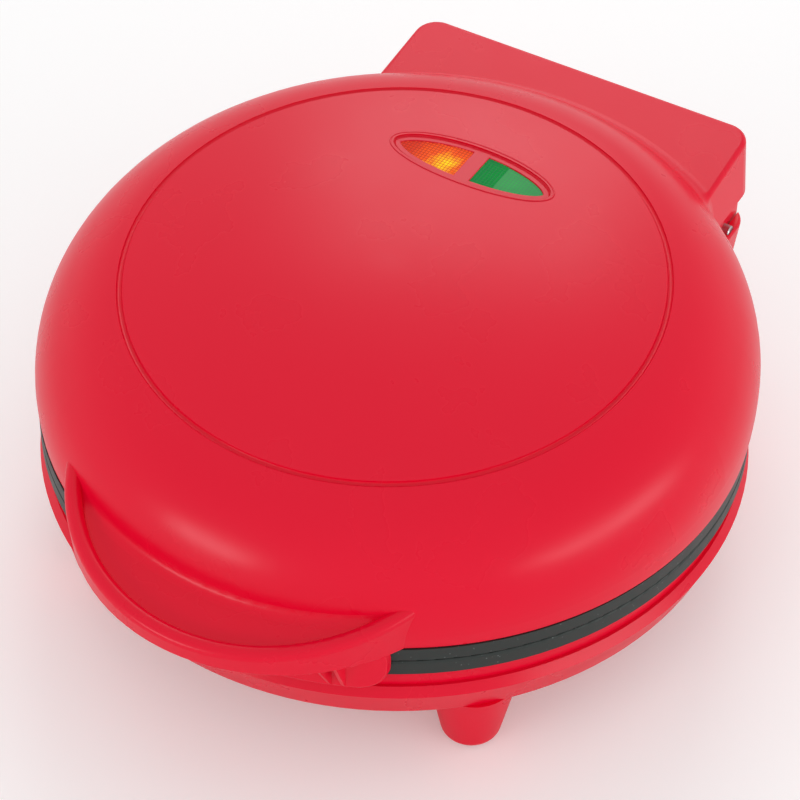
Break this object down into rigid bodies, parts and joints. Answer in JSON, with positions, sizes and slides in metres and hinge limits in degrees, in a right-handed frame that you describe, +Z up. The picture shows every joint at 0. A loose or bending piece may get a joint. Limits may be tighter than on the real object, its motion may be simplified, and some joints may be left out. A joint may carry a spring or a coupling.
{
  "type": "omelette maker",
  "caption": "Round countertop omelette maker with a hinged domed lid, tray handle, indicator lamps, half-moon cooking pockets and a footed base.",
  "frame": {"origin": "on the axis of the round body, in the plane the rubber pads rest on", "axes": "+Z up, -Y towards the handle at the front, +Y towards the hinge, +X to the right seen from the front"},
  "size_m": [0.1948, 0.2251, 0.0983],
  "materials": {
    "red_shell": "smooth glossy moulding",
    "red_trim": "smooth glossy moulding",
    "foot_rubber": "matte",
    "steel": "plain",
    "plate_coating": "dark non-stick coating",
    "heater_steel": "heat-tinted",
    "reflector_steel": "plain",
    "white_plastic": "plain",
    "black_plastic": "plain",
    "wire_sleeve": "plain",
    "amber_plastic": "clear tinted",
    "green_plastic": "clear tinted",
    "lamp_glass": "clear"
  },
  "bodies": {
    "base": {"base_housing": "red_shell", "foot_pads": "foot_rubber", "hinge_pins": "steel", "lower_plate": "plate_coating", "lower_heater": "heater_steel", "lower_reflector": "reflector_steel", "lower_plate_screws": "steel", "thermostat": "steel", "lower_fuse": "steel", "terminal_block": "white_plastic", "base_wires": "wire_sleeve", "inlet_bush": "black_plastic", "cord_clamp": "black_plastic", "cord_clamp_screws": "steel"},
    "lid": {"lid_cover": "red_shell", "lamp_bezel": "red_trim", "amber_lens": "amber_plastic", "green_lens": "green_plastic", "amber_lamp": "lamp_glass", "green_lamp": "lamp_glass", "lamp_holder": "white_plastic", "upper_plate": "plate_coating", "upper_heater": "heater_steel", "upper_reflector": "reflector_steel", "upper_plate_screws": "steel", "upper_fuse": "steel", "lid_wires": "wire_sleeve"}
  },
  "joints": [
    {"name": "lid_hinge", "type": "hinge", "parent": "base", "child": "lid", "pos_m": [0, 0.1005, 0.0512], "axis": [-1, 0, 0], "range_deg": [0, 92]}
  ]
}
